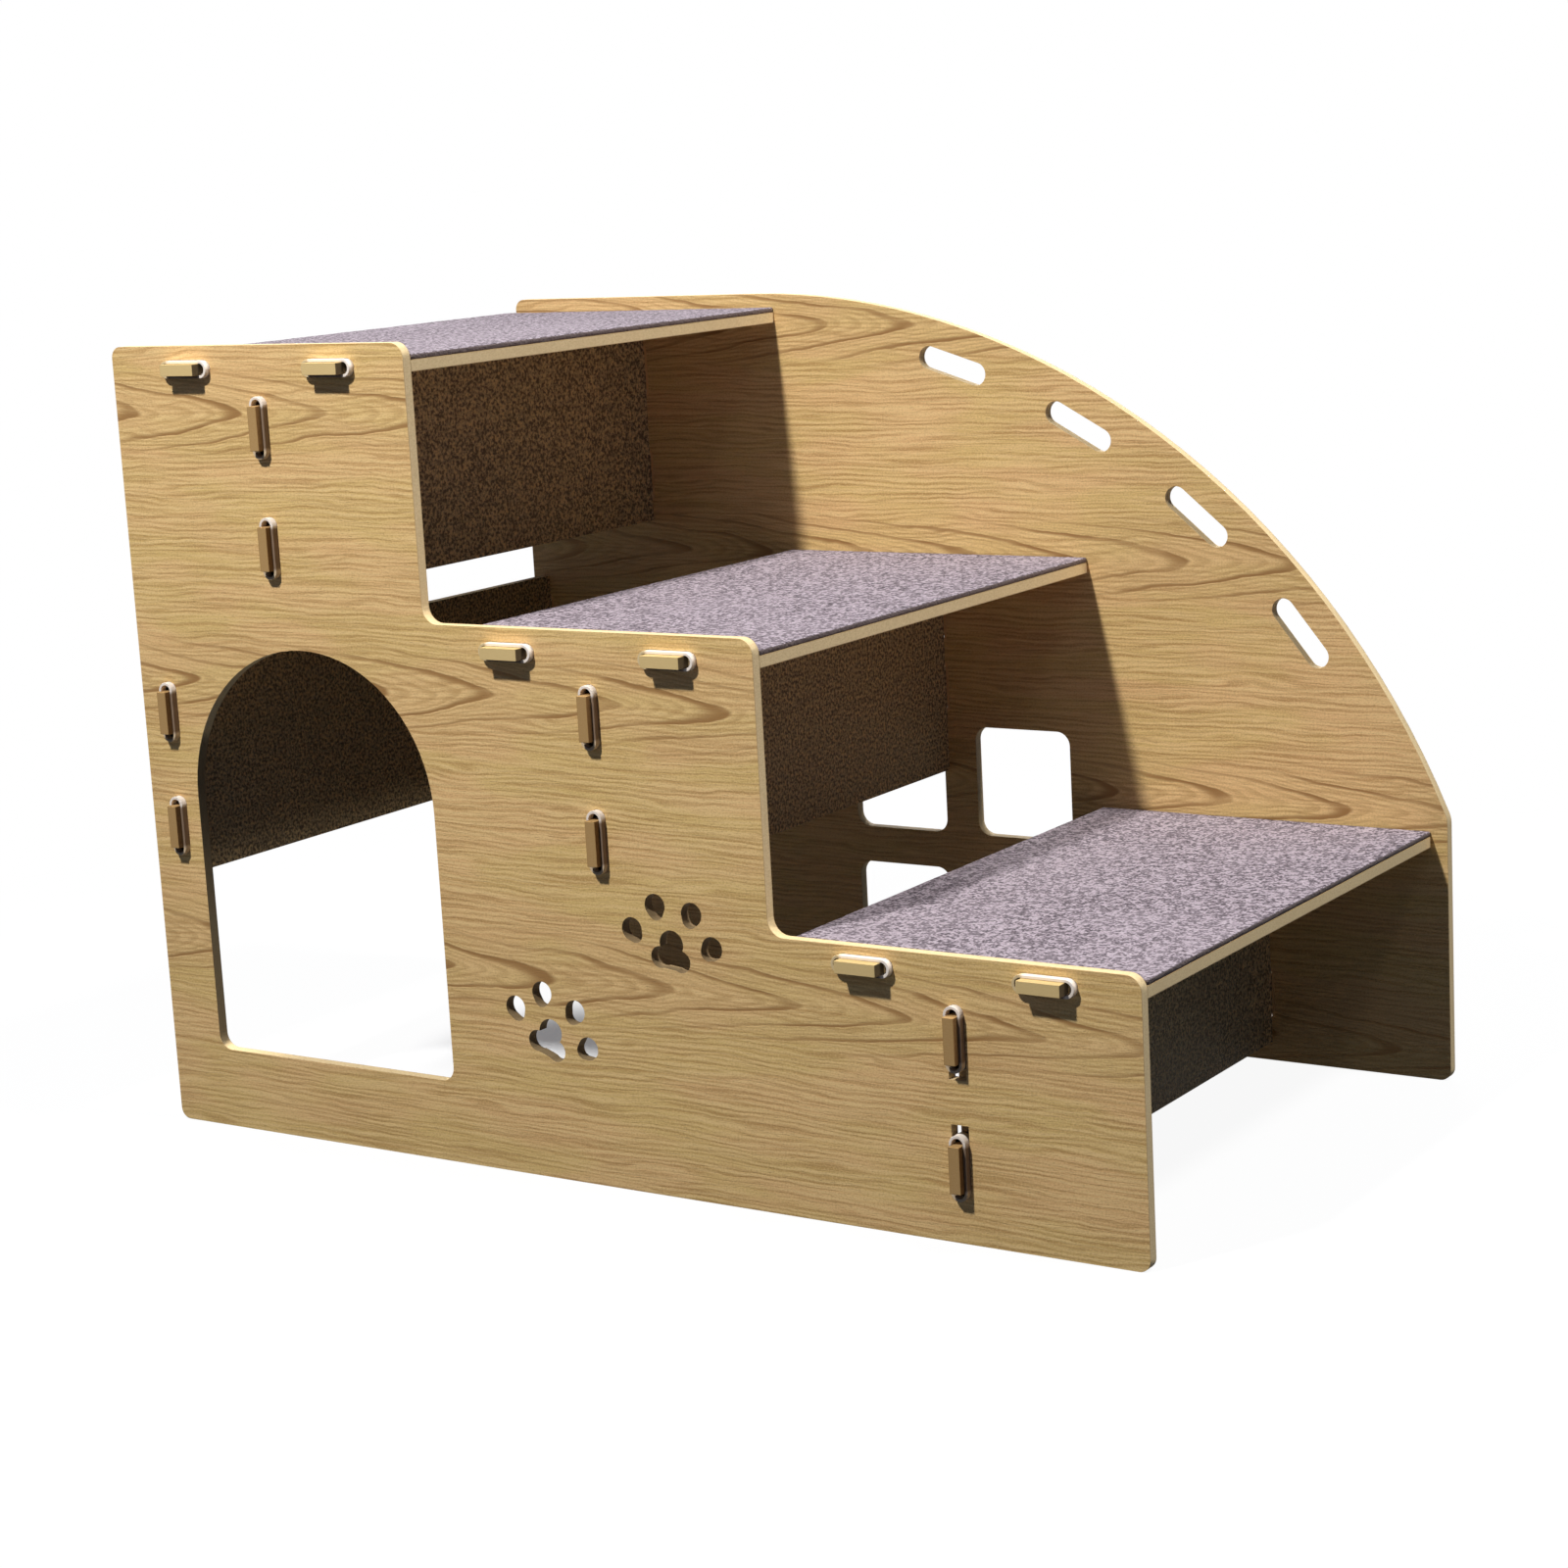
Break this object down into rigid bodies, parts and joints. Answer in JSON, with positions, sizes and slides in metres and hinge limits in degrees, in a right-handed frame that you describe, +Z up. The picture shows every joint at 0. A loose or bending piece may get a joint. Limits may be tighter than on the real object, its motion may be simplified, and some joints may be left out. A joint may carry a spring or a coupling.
{
  "type": "pet stairs",
  "caption": "Flat-pack pet stairs with carpeted treads over an open den, an arched door on one side, and a tall arched side panel with a window and grip slots on the other.",
  "frame": {"origin": "middle of the footprint's bounding box, on the floor", "axes": "+X from the high step at the rear to the low step at the front, -Y towards the door side, +Y towards the window side, +Z up"},
  "size_m": [0.6094, 0.357, 0.427],
  "materials": {
    "side_oak": "oak-grain laminate on fibreboard, satin, with bare pale cut edges",
    "board_oak": "oak-grain laminate on fibreboard, satin, with bare pale cut edges",
    "carpet": "short speckled pile, matte",
    "sleeve": "satin moulded"
  },
  "bodies": {
    "root": {"door_side_panel": "side_oak", "window_side_panel": "side_oak", "top_tread": "board_oak", "middle_tread": "board_oak", "bottom_tread": "board_oak", "top_riser": "board_oak", "middle_riser": "board_oak", "bottom_riser": "board_oak", "rear_brace": "board_oak", "top_carpet": "carpet", "middle_carpet": "carpet", "bottom_carpet": "carpet", "top_tread_door_sleeves": "sleeve", "top_tread_window_sleeves": "sleeve", "middle_tread_door_sleeves": "sleeve", "middle_tread_window_sleeves": "sleeve", "bottom_tread_door_sleeves": "sleeve", "bottom_tread_window_sleeves": "sleeve", "top_riser_door_sleeves": "sleeve", "top_riser_window_sleeves": "sleeve", "middle_riser_door_sleeves": "sleeve", "middle_riser_window_sleeves": "sleeve", "bottom_riser_door_sleeves": "sleeve", "bottom_riser_window_sleeves": "sleeve", "rear_brace_door_sleeves": "sleeve", "rear_brace_window_sleeves": "sleeve"}
  },
  "joints": []
}
